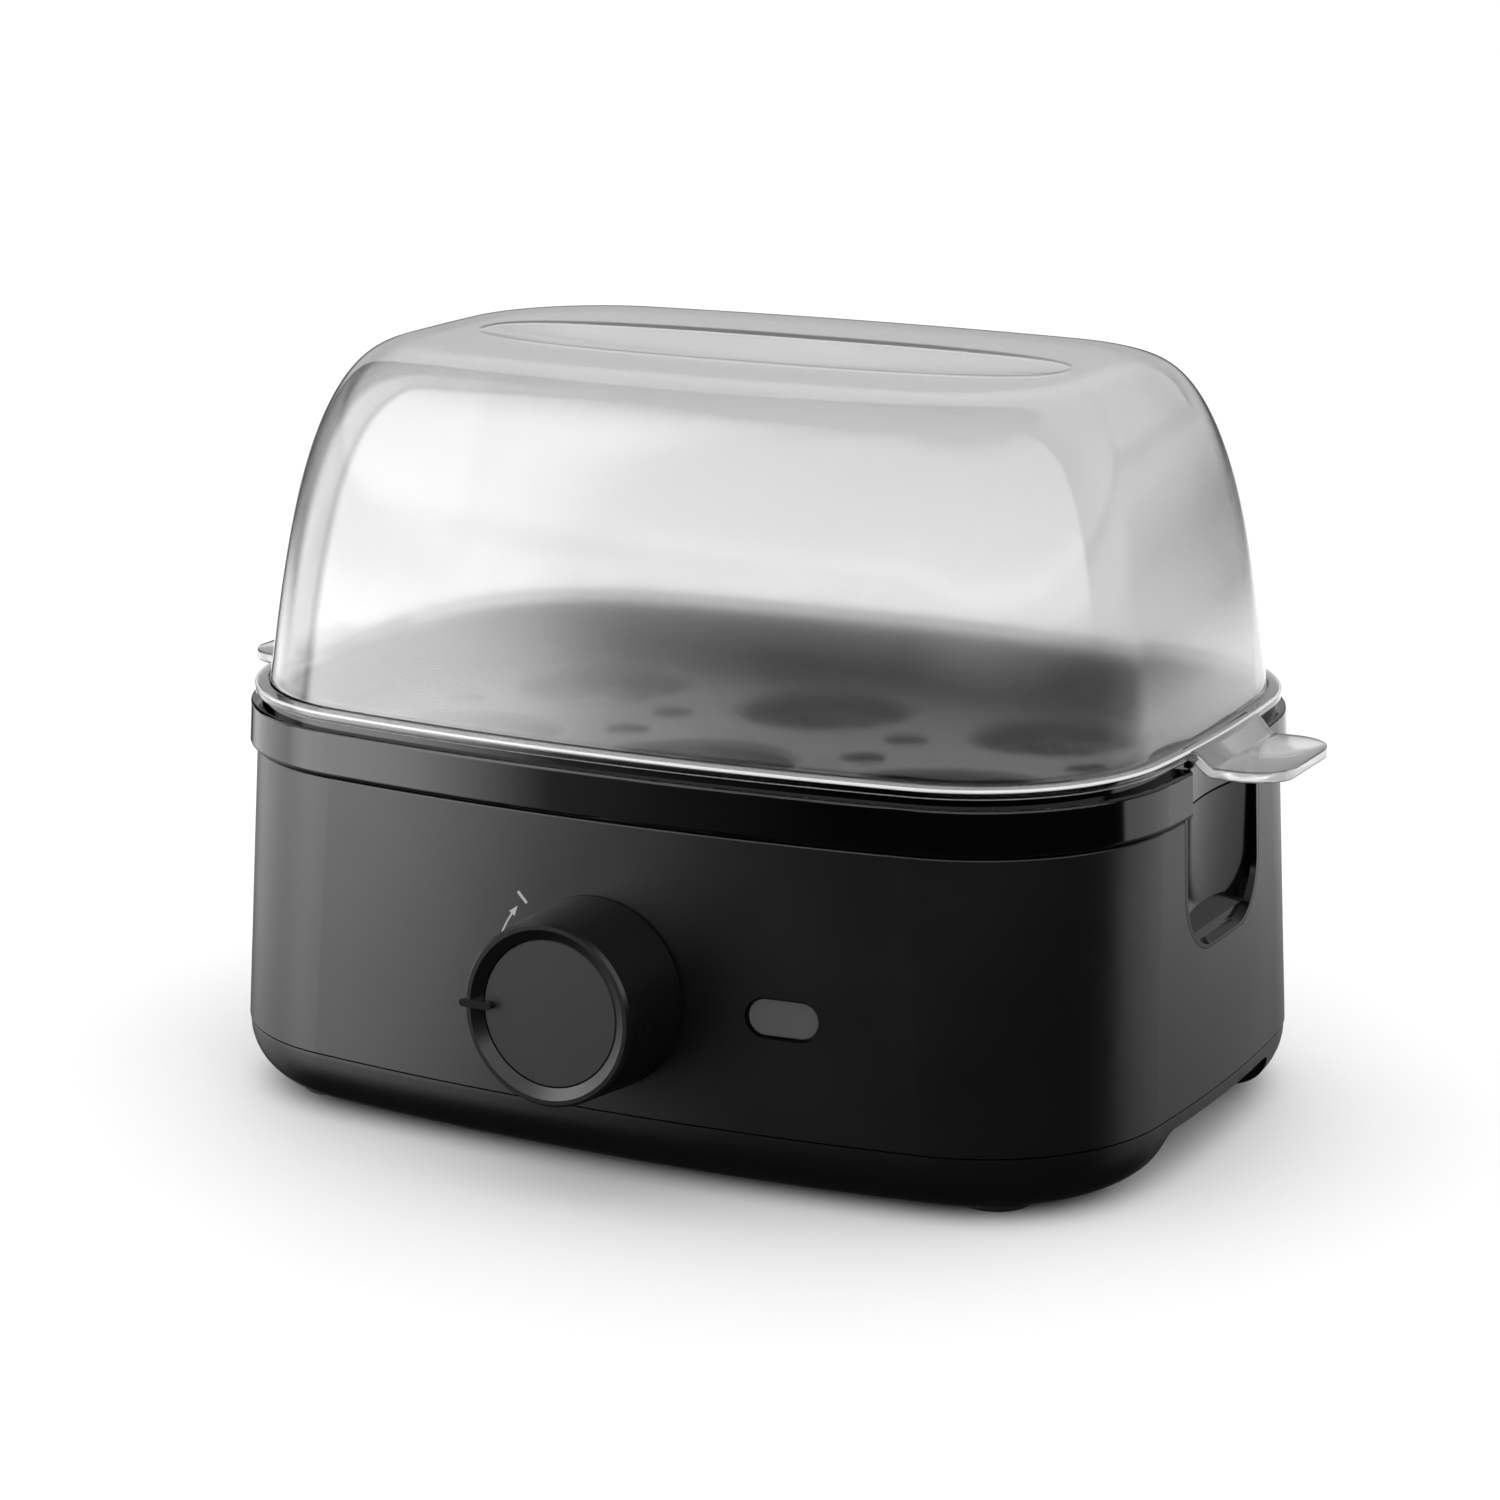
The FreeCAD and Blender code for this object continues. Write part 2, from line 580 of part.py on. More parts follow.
def control_board():
    board = Part.makeBox(79, BOARD_T, 34, V(-28, BOARD_Y, -18))
    for x, z in BOARD_HOLES:
        board = board.cut(Part.makeCylinder(DISH_HOLE_R, 4, V(x, BOARD_Y - 1, z), V(0, 1, 0)))
    return placed(board, KNOB_FRAME)


def board_posts_and_screws():
    """Board screws, and the spacers that carry the board off the shell's front wall."""
    screws, posts = [], []
    for x, z in BOARD_HOLES:
        post = Part.makeCylinder(3.2, BOARD_Y, V(x, 0, z), V(0, 1, 0))
        post = post.cut(Part.makeCylinder(1.25, 10, V(x, BOARD_Y - 6.0, z), V(0, 1, 0)))
        posts.append(placed(post, KNOB_FRAME).common(shell_inside()))
        shank = Part.makeCylinder(1.2, BOARD_T + 5.5, V(x, BOARD_Y - 5.5, z), V(0, 1, 0))
        head = Part.makeCylinder(2.6, 1.8, V(x, BOARD_Y + BOARD_T, z), V(0, 1, 0))
        cross = Part.makeBox(3.2, 1.0, 0.8, V(x - 1.6, BOARD_Y + BOARD_T + 1.2, z - 0.4))
        screws.append(placed(head.fuse(shank).cut(cross), KNOB_FRAME))
    return Part.Compound(posts), Part.Compound(screws)


def relay():
    can = Part.makeBox(19, 15, 15, V(-18, BOARD_Y + BOARD_T, -14))
    return placed(fillet_where(can, 0.8, lambda e, c, b: True), KNOB_FRAME)


def buzzer():
    y = BOARD_Y + BOARD_T
    can = Part.makeCylinder(6, 7.5, V(28, y, -8), V(0, 1, 0))
    return placed(can.cut(Part.makeCylinder(1, 1, V(28, y + 6.5, -8), V(0, 1, 0))), KNOB_FRAME)


def capacitor():
    y = BOARD_Y + BOARD_T
    can = Part.makeCylinder(5, 14, V(12, y, -8), V(0, 1, 0))
    return placed(fillet_where(can, 0.8, lambda e, c, b: c.y > y + 13), KNOB_FRAME)


def indicator_lens():
    """Slot-shaped window, set back a little in its hole, with a flange behind the wall."""
    face = stadium(7.75, 3.9, LENS_RECESS, 2.7)
    face = fillet_where(face, 0.35, lambda e, c, b: abs(c.y - LENS_RECESS) < 0.02)
    return placed(face.fuse(stadium(10.0, 6.1, 2.7, 4.0)), LENS_FRAME)


def indicator_light():
    """Light source behind the window: a small block with a domed emitter."""
    block = Part.makeBox(7, 3.0, 5, V(-3.5, 6.5, -2.5))
    return placed(block.fuse(Part.makeSphere(1.6, V(0, 6.5, 0))), LENS_FRAME)


def terminal_block():
    body = box(-15, 15, 47, 60, FLOOR_Z, FLOOR_Z + 11.5)
    for x in (-9.5, 0, 9.5):
        body = body.cut(cyl(2.6, x, 53.5, FLOOR_Z + 5, 17))
        body = body.cut(Part.makeCylinder(2.0, 20, V(x, 45, FLOOR_Z + 3.2), V(0, 1, 0)))
    return body


def cord_grommet():
    """Bush in the rear wall that the mains lead passes through."""
    bore, neck, flange = 3.6, 5.3, 7.4
    outside = [(bore, 1.8), (flange - 0.8, 1.8), (flange, 1.0), (flange, 0.05), (neck, 0.05)]
    inside = [(neck, -2.6), (flange, -2.6), (flange, -4.4), (bore, -4.4)]
    return placed(revolve_y(outside + inside), INLET_FRAME)


# ---- tray and lid ------------------------------------------------------------------------
EGG_SEATS = {
    "seat_ring_%s_%s" % (row, column): (i * EGG_PITCH_X, s * EGG_ROW_Y)
    for s, row in ((-1, "front"), (1, "rear"))
    for i, column in ((-1, "left"), (0, "middle"), (1, "right"))
}
STEAM_HOLES = four_corners(29.0, 10.7) + [(-77.0, 0.0), (77.0, 0.0)]
TRAY_OUTLINE = WELL.inset(0.4)
TRAY_LOW_Z = TRAY_FLOOR_Z - TRAY_FLOOR_T


def egg_tray():
    """Plate of the lift-out tray, with a hole for each egg seat and for the steam."""
    plate = TRAY_OUTLINE.inset(TRAY_RIM_T).prism(TRAY_LOW_Z, TRAY_FLOOR_Z)
    for x, y in EGG_SEATS.values():
        plate = plate.cut(cyl(EGG_HOLE_R + SEAT_WALL, x, y, 60, 100))
    for x, y in STEAM_HOLES:
        plate = plate.cut(cyl(STEAM_HOLE_R, x, y, 60, 100))
    return plate


def tray_rim():
    """Upstanding rim round the tray's plate."""
    rim = ring(TRAY_OUTLINE, TRAY_OUTLINE.inset(TRAY_RIM_T), TRAY_LOW_Z, TRAY_RIM_Z)
    return fillet_where(rim, 0.6, flat_at(TRAY_RIM_Z))


def seat_ring(x, y):
    """Ring that an egg stands in, flared at its mouth."""
    seat = cyl(EGG_HOLE_R + SEAT_WALL - SEAT_FIT, x, y, TRAY_LOW_Z - SEAT_DROP, TRAY_FLOOR_Z)
    flare = Part.makeCone(EGG_HOLE_R, EGG_HOLE_R + 1.4, 1.4, V(x, y, TRAY_FLOOR_Z - 1.39))
    return seat.cut(cyl(EGG_HOLE_R, x, y, 60, 100)).cut(flare)


LID_STATIONS = (0.0, 0.12, 0.26, 0.40, 0.54, 0.67, 0.78, 0.87, 0.935, 0.975, 0.994, 1.0)
LID_LEAN = (7.6, 8.7)  # how far the straight part of the wall leans in, at ends and sides
LID_INSET = (26.7, 31.0)  # total inset of the top
LID_CURVE = (2.63, 2.83)  # exponents of the shoulder curves


def dome(wall, z0):
    """The dome as a solid, reduced by a wall on every side, down to z0."""
    a, b, r = LID_ROOT
    root_z = BEAD_TOP_Z + FLANGE_T
    top_z = LID_TOP_Z - wall
    wires = [Outline(a - wall, b - wall, r - wall).wire(z0)]
    for t in LID_STATIONS:
        ins = [
            lean * t + (total - lean) * (1 - (1 - t**n) ** (1 / n))
            for lean, total, n in zip(LID_LEAN, LID_INSET, LID_CURVE)
        ]
        out = Outline(a - wall - ins[0], b - wall - ins[1], r - wall - 0.19 * sum(ins))
        wires.append(out.wire(root_z + (top_z - root_z) * t))
    upper = Part.makeLoft(wires[1:], True, False)
    return upper.fuse(wires_prism(wires[0], root_z - z0))


def wires_prism(wire, height):
    return Part.Face(wire).extrude(UP * height)


def scoop(grow):
    """Capsule that hollows the lid's top into a shallow slot-shaped trough."""
    r = (SCOOP_HALF_WIDTH**2 + SCOOP_DEPTH**2) / (2 * SCOOP_DEPTH)
    z = LID_TOP_Z - SCOOP_DEPTH + r
    half = SCOOP_HALF_LENGTH - SCOOP_HALF_WIDTH
    shape = Part.makeCylinder(r + grow, 2 * half, V(-half, 0, z), V(1, 0, 0))
    for s in (-1, 1):
        shape = shape.fuse(Part.makeSphere(r + grow, V(s * half, 0, z)))
    return shape.common(box(-120, 120, -60, 60, 130, LID_TOP_Z + 1))


def lid_tab():
    """Finger tab at the right end: steps down from the flange, then runs out level."""
    z_in, z_out, t, x0, x1 = BEAD_TOP_Z, TAB_TOP_Z - TAB_T, FLANGE_T, 104.0, 107.4
    step = 3.6
    low = [V(x0, 0, z_in), V(x1, 0, z_in), V(x1 + step, 0, z_out), V(TAB_REACH + 1, 0, z_out)]
    high = [V(p.x, 0, z) for p, z in zip(low, (z_in + t, z_in + t, TAB_TOP_Z, TAB_TOP_Z))]
    high[1].x += 0.9
    high[2].x += 0.9
    pts = low + high[::-1]
    side = Part.Face(Part.makePolygon(pts + pts[:1])).extrude(V(0, 60, 0))
    side.translate(V(0, -30, 0))
    side = fillet_where(side, 1.5, lambda e, c, b: e.Length > 50 and 107 < c.x < 113)
    w, r, x = TAB_HALF_WIDTH, 9.0, TAB_REACH
    k = r * (1 - math.sqrt(0.5))
    plan = Part.Wire(
        [
            Part.LineSegment(V(100, -w - 1.2, 80), V(108.5, -w - 1.2, 80)).toShape(),
            Part.LineSegment(V(108.5, -w - 1.2, 80), V(x - r, -w, 80)).toShape(),
            Part.Arc(V(x - r, -w, 80), V(x - k, -w + k, 80), V(x, -w + r, 80)).toShape(),
            Part.LineSegment(V(x, -w + r, 80), V(x, w - r, 80)).toShape(),
            Part.Arc(V(x, w - r, 80), V(x - k, w - k, 80), V(x - r, w, 80)).toShape(),
            Part.LineSegment(V(x - r, w, 80), V(108.5, w + 1.2, 80)).toShape(),
            Part.LineSegment(V(108.5, w + 1.2, 80), V(100, w + 1.2, 80)).toShape(),
            Part.LineSegment(V(100, w + 1.2, 80), V(100, -w - 1.2, 80)).toShape(),
        ]
    )
    return side.common(Part.Face(plan).extrude(V(0, 0, 20)))


def lid():
    flange = Outline(*LID_FLANGE).prism(BEAD_TOP_Z, BEAD_TOP_Z + FLANGE_T)
    flange = fillet_where(flange, 0.5, flat_at(BEAD_TOP_Z + FLANGE_T))
    shape = flange.fuse(dome(0.0, BEAD_TOP_Z + 0.5))
    for tab in both_ends(lid_tab()):
        shape = shape.fuse(tab)
    inner = dome(LID_T, BEAD_TOP_Z - 1).cut(scoop(LID_T))
    shape = shape.cut(inner).cut(scoop(0.0))
    x, y0, y1 = VENT_HALF_LENGTH, VENT_Y - VENT_HALF_WIDTH, VENT_Y + VENT_HALF_WIDTH
    vent = box(-x, x, y0, y1, 155, 170)
    vent = fillet_where(vent, 1.55, lambda e, c, b: abs(e.tangentAt(e.FirstParameter).z) > 0.9)
    return shape.cut(vent)


# ---- everything, one file per piece --------------------------------------------------------
save("base_cover", base_cover())
for name, (x, y) in FEET.items():
    save(name, foot(x, y))
for name, x in CLEATS.items():
    save(name, cord_cleat(x))
save("base_screws", base_screws())
save("body_shell", body_shell())
save("shell_posts", shell_posts())
save("collar", collar())
for name, shape in zip(("pocket_liner_right", "pocket_liner_left"), both_ends(pocket_liner())):
    save(name, shape)
save("heating_dish", heating_dish())
save("dish_seal", dish_seal())
save("dish_screws", dish_screws())
save("heater_plate", heater_plate())
save("heating_element", heating_element())
save("thermostat", thermostat())
save("thermostat_bracket", thermostat_bracket())
save("thermal_fuse", thermal_fuse())
save("heat_shield", heat_shield())
save("shield_standoffs", shield_standoffs())
save("rotary_switch", rotary_switch())
save("control_board", control_board())
posts, screws = board_posts_and_screws()
save("board_spacers", posts)
save("board_screws", screws)
save("relay", relay())
save("buzzer", buzzer())
save("capacitor", capacitor())
save("indicator_lens", indicator_lens())
save("indicator_light", indicator_light())
save("terminal_block", terminal_block())
save("cord_grommet", cord_grommet())
save("knob", knob())
save("knob_cap", knob_cap())
save("knob_pointer", knob_pointer())
save("knob_shaft", knob_shaft())
save("egg_tray", egg_tray())
save("tray_rim", tray_rim())
for name, (x, y) in EGG_SEATS.items():
    save(name, seat_ring(x, y))
save("lid", lid())
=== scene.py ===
import json
import math

import bmesh
import bpy
import numpy as np
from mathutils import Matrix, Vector


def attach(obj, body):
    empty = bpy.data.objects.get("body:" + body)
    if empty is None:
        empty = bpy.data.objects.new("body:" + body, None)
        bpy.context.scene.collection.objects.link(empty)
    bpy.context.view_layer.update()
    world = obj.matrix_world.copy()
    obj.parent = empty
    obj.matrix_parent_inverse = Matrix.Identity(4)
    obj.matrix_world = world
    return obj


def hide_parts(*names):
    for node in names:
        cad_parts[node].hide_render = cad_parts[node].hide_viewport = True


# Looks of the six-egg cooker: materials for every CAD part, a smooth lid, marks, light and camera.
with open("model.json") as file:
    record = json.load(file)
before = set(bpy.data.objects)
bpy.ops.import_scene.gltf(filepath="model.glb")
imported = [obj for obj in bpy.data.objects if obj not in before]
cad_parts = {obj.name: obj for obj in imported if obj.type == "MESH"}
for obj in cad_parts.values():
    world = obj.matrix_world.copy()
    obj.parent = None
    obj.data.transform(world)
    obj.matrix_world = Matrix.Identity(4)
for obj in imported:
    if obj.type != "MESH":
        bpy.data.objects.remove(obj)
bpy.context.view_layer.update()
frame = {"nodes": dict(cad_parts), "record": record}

MM = 0.001
NODES = frame["nodes"]
HOUSING_Y = 10.0  # the housing's middle lies this far behind the origin, mm


# ---- materials -------------------------------------------------------------------------------
class Material:
    """A Principled material and helpers for its procedural detail, in object space (metres)."""

    def __init__(self, name, color, roughness, metallic=0.0, ior=1.5):
        self.mat = bpy.data.materials.new(name)
        self.mat.use_nodes = True
        self.tree = self.mat.node_tree
        self.bsdf = self.tree.nodes["Principled BSDF"]
        self.out = self.tree.nodes["Material Output"]
        self.bsdf.inputs["Base Color"].default_value = (*color, 1)
        self.bsdf.inputs["Roughness"].default_value = roughness
        self.bsdf.inputs["Metallic"].default_value = metallic
        self.bsdf.inputs["IOR"].default_value = ior
        self.color, self.roughness = color, roughness
        self.coords = self.node("ShaderNodeTexCoord").outputs["Object"]

    def node(self, kind, **settings):
        made = self.tree.nodes.new(kind)
        for key, value in settings.items():
            setattr(made, key, value)
        return made

    def link(self, out, socket):
        self.tree.links.new(out, socket)

    def noise(self, scale, detail=2.0, roughness=0.5, stretch=None):
        """Noise of about 1/scale metres; stretch squeezes it along the axes."""
        tex = self.node("ShaderNodeTexNoise")
        tex.inputs["Scale"].default_value = scale
        tex.inputs["Detail"].default_value = detail
        tex.inputs["Roughness"].default_value = roughness
        source = self.coords
        if stretch:
            mapping = self.node("ShaderNodeMapping")
            mapping.inputs["Scale"].default_value = stretch
            self.link(source, mapping.inputs["Vector"])
            source = mapping.outputs["Vector"]
        self.link(source, tex.inputs["Vector"])
        return tex.outputs["Fac"]

    def spread(self, value, low, high):
        """Maps the middle of a noise pattern, where most of it lies, to the range low to high."""
        ramp = self.node("ShaderNodeMapRange")
        ramp.inputs["From Min"].default_value = 0.3
        ramp.inputs["From Max"].default_value = 0.7
        ramp.inputs["To Min"].default_value = low
        ramp.inputs["To Max"].default_value = high
        self.link(value, ramp.inputs["Value"])
        return ramp.outputs["Result"]

    def vary_roughness(self, pattern, amount):
        low, high = max(self.roughness - amount, 0.01), self.roughness + amount
        self.link(self.spread(pattern, low, high), self.bsdf.inputs["Roughness"])

    def vary_color(self, pattern, other):
        mix = self.node("ShaderNodeMix", data_type="RGBA")
        mix.inputs["A"].default_value = (*self.color, 1)
        mix.inputs["B"].default_value = (*other, 1)
        self.link(self.spread(pattern, 0, 1), mix.inputs["Factor"])
        self.link(mix.outputs["Result"], self.bsdf.inputs["Base Color"])

    def bump(self, pattern, height):
        """Adds relief of this height in metres."""
        node = self.node("ShaderNodeBump")
        node.inputs["Strength"].default_value = 1.0
        node.inputs["Distance"].default_value = height
        self.link(pattern, node.inputs["Height"])
        self.link(node.outputs["Normal"], self.bsdf.inputs["Normal"])


def satin_plastic(name, color, roughness):
    """Moulded plastic with a very fine spark-eroded grain and a little handling sheen."""
    m = Material(name, color, roughness)
    m.bump(m.noise(2600, 2.0, 0.6), 0.000004)
    m.vary_roughness(m.noise(22, 3.0), 0.03)
    m.vary_color(m.noise(9, 2.0), tuple(c * 1.25 for c in color))
    return m.mat


def gloss_plastic(name, color, roughness=0.07, ior=1.5):
    """Polished plastic: faint moulding waviness and uneven polish."""
    m = Material(name, color, roughness, ior=ior)
    m.bump(m.noise(38, 1.0), 0.00002)
    m.vary_roughness(m.noise(60, 3.0), 0.02)
    m.vary_color(m.noise(14, 2.0), tuple(c * 1.3 for c in color))
    return m.mat


def metal(name, color, roughness, stretch=(1, 1, 1), tint=0.85):
    """Rolled or turned metal: drawn scratches, blotchy polish and slight discolouring."""
    m = Material(name, color, roughness, metallic=1.0)
    m.bump(m.noise(900, 3.0, 0.6, stretch), 0.0000015)
    m.vary_roughness(m.noise(70, 4.0, 0.6, stretch), 0.08)
    m.vary_color(m.noise(12, 3.0), tuple(c * tint for c in color))
    return m.mat


def dull(name, color, roughness, grain=0.00002, other=0.8):
    """Rubber, ceramic or resin: matte with visible fine texture."""
    m = Material(name, color, roughness)
    m.bump(m.noise(700, 3.0, 0.6), grain)
    m.vary_roughness(m.noise(40, 3.0), 0.06)
    m.vary_color(m.noise(30, 3.0), tuple(c * other for c in color))
    return m.mat


def clear_plastic(name, tint, roughness, smoke, clarity=1.0):
    """Clear plastic under a sharp coat: tint at each surface, smoke per metre of thickness."""
    m = Material(name, (tint, tint, tint * 1.004), roughness, ior=1.49)
    m.bsdf.inputs["Transmission Weight"].default_value = clarity
    m.bsdf.inputs["Coat Weight"].default_value = 1.0
    m.bsdf.inputs["Coat Roughness"].default_value = 0.02
    m.vary_roughness(m.noise(30, 2.0), 0.02)
    m.bump(m.noise(18, 1.0), 0.00001)
    absorption = m.node("ShaderNodeVolumeAbsorption")
    absorption.inputs["Color"].default_value = (0, 0, 0, 1)
    absorption.inputs["Density"].default_value = smoke
    m.link(absorption.outputs["Volume"], m.out.inputs["Volume"])
    return m.mat


MATERIALS = {
    "shell_black": satin_plastic("shell_black", (0.0022, 0.0022, 0.0024), 0.33),
    "gloss_black": gloss_plastic("gloss_black", (0.0012, 0.0012, 0.0013)),
    "base_black": satin_plastic("base_black", (0.0022, 0.0022, 0.0024), 0.34),
    "knob_black": satin_plastic("knob_black", (0.003, 0.003, 0.0033), 0.28),
    "cap_grey": satin_plastic("cap_grey", (0.007, 0.007, 0.0072), 0.45),
    "pointer_black": gloss_plastic("pointer_black", (0.006, 0.006, 0.006)),
    "foot_rubber": dull("foot_rubber", (0.012, 0.012, 0.012), 0.75),
    "screw_steel": metal("screw_steel", (0.55, 0.55, 0.56), 0.30),
    "dish_steel": metal("dish_steel", (0.60, 0.60, 0.59), 0.28, stretch=(1, 12, 1)),
    "seal_silicone": dull("seal_silicone", (0.42, 0.41, 0.39), 0.55),
    "plate_aluminium": metal("plate_aluminium", (0.72, 0.72, 0.73), 0.42),
    "element_steel": metal("element_steel", (0.20, 0.19, 0.18), 0.45, tint=0.6),
    "shield_steel": metal("shield_steel", (0.66, 0.66, 0.67), 0.25, stretch=(12, 1, 1)),
    "thermostat_brown": dull("thermostat_brown", (0.10, 0.045, 0.025), 0.45),
    "fuse_white": dull("fuse_white", (0.75, 0.74, 0.70), 0.30, grain=0.000005),
    "switch_grey": satin_plastic("switch_grey", (0.07, 0.07, 0.08), 0.5),
    "board_green": gloss_plastic("board_green", (0.02, 0.12, 0.045), 0.25),
    "relay_blue": gloss_plastic("relay_blue", (0.02, 0.07, 0.28), 0.3),
    "part_black": gloss_plastic("part_black", (0.012, 0.012, 0.012), 0.25),
    "lens_grey": satin_plastic("lens_grey", (0.050, 0.050, 0.052), 0.35),
    "light_white": dull("light_white", (0.80, 0.80, 0.78), 0.35, grain=0.000004),
    "terminal_white": dull("terminal_white", (0.72, 0.72, 0.70), 0.5),
    "tray_black": satin_plastic("tray_black", (0.008, 0.008, 0.0086), 0.38),
    "lid_clear": clear_plastic("lid_clear", 0.97, 0.11, 70.0),
    "tab_frost": clear_plastic("tab_frost", 0.94, 0.06, 20.0, clarity=0.93),
    # painted highlight: a mostly opaque white for the strip on the flange's edge, standing in for
    # the bright line of light there
    "painted_edge_highlight": clear_plastic("painted_edge_highlight", 0.95, 0.15, 0.0, clarity=0.30),
    # painted highlight: a paler, partly opaque white for the tabs' outer edges, standing in for the
    # bright lines of light on them
    "tab_painted_highlight": clear_plastic("tab_painted_highlight", 0.95, 0.10, 0.0, clarity=0.60),
    "pocket_black": gloss_plastic("pocket_black", (0.0012, 0.0012, 0.0013), 0.12, ior=1.28),
    "print_grey": dull("print_grey", (0.42, 0.41, 0.39), 0.6, grain=0.000003, other=0.9),
}

FINISHES = {"pocket_liner_left": "pocket_black", "pocket_liner_right": "pocket_black"}
for part in frame["record"]["subparts"]:
    slots = NODES[part["node"]].data.materials
    slots.clear()
    slots.append(MATERIALS[FINISHES.get(part["node"], part["material_slot"])])


# ---- outlines, in millimetres about the middle of the housing -----------------------------------
END_R, SIDE_R = 400.0, 520.0  # crown radii of the housing's ends and sides
CORNER_STEPS, SIDE_STEPS = 40, 48  # points per corner, and per half of a long side


def arc(x, y, r, start, stop, count):
    """Points on an arc about x, y, from one angle to another in radians."""
    return [(x + r * math.cos(t), y + r * math.sin(t)) for t in np.linspace(start, stop, count)]


def outline(a, b, r, inset=0.0):
    """Points round a rounded rectangle with crowned sides, from the middle of the right end."""
    a, b, r = a - inset, b - inset, r - inset
    end_r, side_r = END_R - inset, SIDE_R - inset
    end_c, side_c = a - end_r, b - side_r
    # the corner's centre lies where circles about the two crowns' centres cross
    r_side, r_end = side_r - r, end_r - r
    gap = math.hypot(end_c, side_c)
    ux, uy = end_c / gap, -side_c / gap
    along = (r_side**2 - r_end**2 + gap**2) / (2 * gap)
    off = math.sqrt(r_side**2 - along**2)
    mx, my = along * ux, side_c + along * uy
    cx, cy = max(((mx + s * off * uy, my - s * off * ux) for s in (1, -1)), key=sum)
    t_end = math.atan2(cy, cx - end_c)
    t_side = math.atan2(cy - side_c, cx)
    end = arc(end_c, 0, end_r, 0, t_end, SIDE_STEPS // 2 + 1)
    bend = arc(cx, cy, r, t_end, t_side, CORNER_STEPS + 1)
    side = arc(0, side_c, side_r, t_side, math.pi / 2, SIDE_STEPS + 1)
    quarter = np.array(end + bend[1:] + side[1:])
    top = np.vstack([quarter, (quarter * [-1, 1])[::-1][1:]])
    return np.vstack([top, (top * [1, -1])[::-1][1:-1]])


def to_metres(points):
    """Points in millimetres about the middle of the housing, as metres in the frame."""
    return (np.asarray(points, float) + [0, HOUSING_Y, 0]) * MM


def mesh_object(name, verts, faces, material, smooth=True):
    """New object in the scene, from vertices in metres."""
    mesh = bpy.data.meshes.new(name)
    mesh.from_pydata([tuple(v) for v in verts], [], faces)
    mesh.update()
    obj = bpy.data.objects.new(name, mesh)
    bpy.context.scene.collection.objects.link(obj)
    mesh.materials.append(material)
    for face in mesh.polygons:
        face.use_smooth = smooth
    return obj


def bridge(rings, closed=True):
    """Quads between successive rings of equal length, as index tuples."""
    n = len(rings[0])
    count = n if closed else n - 1
    faces = []
    for i in range(len(rings) - 1):
        for j in range(count):
            k = (j + 1) % n
            faces.append((i * n + j, i * n + k, (i + 1) * n + k, (i + 1) * n + j))
    return faces


def bridge_loop(rings):
    """Faces of a closed tube: the last ring joins the first again."""
    n = len(rings[0])
    last = (len(rings) - 1) * n
    return bridge(rings) + [(last + j, last + (j + 1) % n, (j + 1) % n, j) for j in range(n)]


def end_caps(rings):
    """One face over the first ring and one over the last."""
    n = len(rings[0])
    return [tuple(range(n))[::-1], tuple((len(rings) - 1) * n + j for j in range(n))]


# ---- the lid ---------------------------------------------------------------------------------
FLANGE_Z0, FLANGE_Z1, LID_TOP_Z = 89.0, 91.0, 164.4
FLANGE_MID_Z = (FLANGE_Z0 + FLANGE_Z1) / 2
LID_FLANGE = (107.6, 77.2, 44.5)  # half length, half width and corner radius of the flange
LID_ROOT = (104.5, 73.3, 41.0)  # the same where the dome meets it
# per end and per side: how far the wall leans in, its whole inset at the top, its curve's exponent
LID_LEAN, LID_INSET, LID_CURVE = (7.6, 8.7), (26.7, 31.0), (2.63, 2.83)
CORNER_SHRINK = 0.19  # the corner radius loses this much of both insets
LID_T = 2.2
TROUGH_LENGTH, TROUGH_WIDTH, TROUGH_DEPTH = 70.0, 19.0, 3.0  # half length and half width
TROUGH_POWER = 2.5  # superellipse exponent of the hollow's outline
TROUGH_LIP = 0.06  # first step down into the hollow
VENT_HALF_LENGTH, VENT_R, VENT_Y = 6.2, 1.5, -6.0
VENT_CUT = (150.0, 170.0)  # heights that the cutter spans
TAB_T, TAB_REACH, TAB_HALF_WIDTH = 2.4, 126.5, 17.7
TAB_Z = 86.4  # the tab's mid level
TAB_STEP_X0, TAB_STEP_X1 = 106.6, 112.0  # it steps down from the flange between these
TAB_NOSE = 9.0  # length of its rounded end
TAB_SMALL_R = 0.6  # radius of its long edges
TAB_HIGHLIGHT_X = 0.1085  # metres; side faces past this take the paler material of the tabs' painted edge highlight


def dome_ring(t, wall):
    """Ring of the dome at height fraction t, reduced by the wall."""
    a, b, r = LID_ROOT
    ins = [
        lean * t + (total - lean) * (1 - (1 - t**n) ** (1 / n))
        for lean, total, n in zip(LID_LEAN, LID_INSET, LID_CURVE)
    ]
    flat = outline(a - wall - ins[0], b - wall - ins[1], r - wall - CORNER_SHRINK * sum(ins))
    z = FLANGE_Z1 + (LID_TOP_Z - wall - FLANGE_Z1) * t
    return np.column_stack([flat, np.full(len(flat), z)])


def trough_ring(base, scale, z):
    """Superellipse ring of the hollow in the lid's top, one point for each of the base ring's."""
    points = []
    half_length, half_width = base[:, 0].max(), base[:, 1].max()
    for x, y, _ in base:
        t = math.atan2(y / half_width, x / half_length)
        c, s = math.cos(t), math.sin(t)
        px = TROUGH_LENGTH * math.copysign(abs(c) ** (2 / TROUGH_POWER), c)
        py = TROUGH_WIDTH * math.copysign(abs(s) ** (2 / TROUGH_POWER), s)
        points.append((px * scale, py * scale, z))
    return np.array(points)


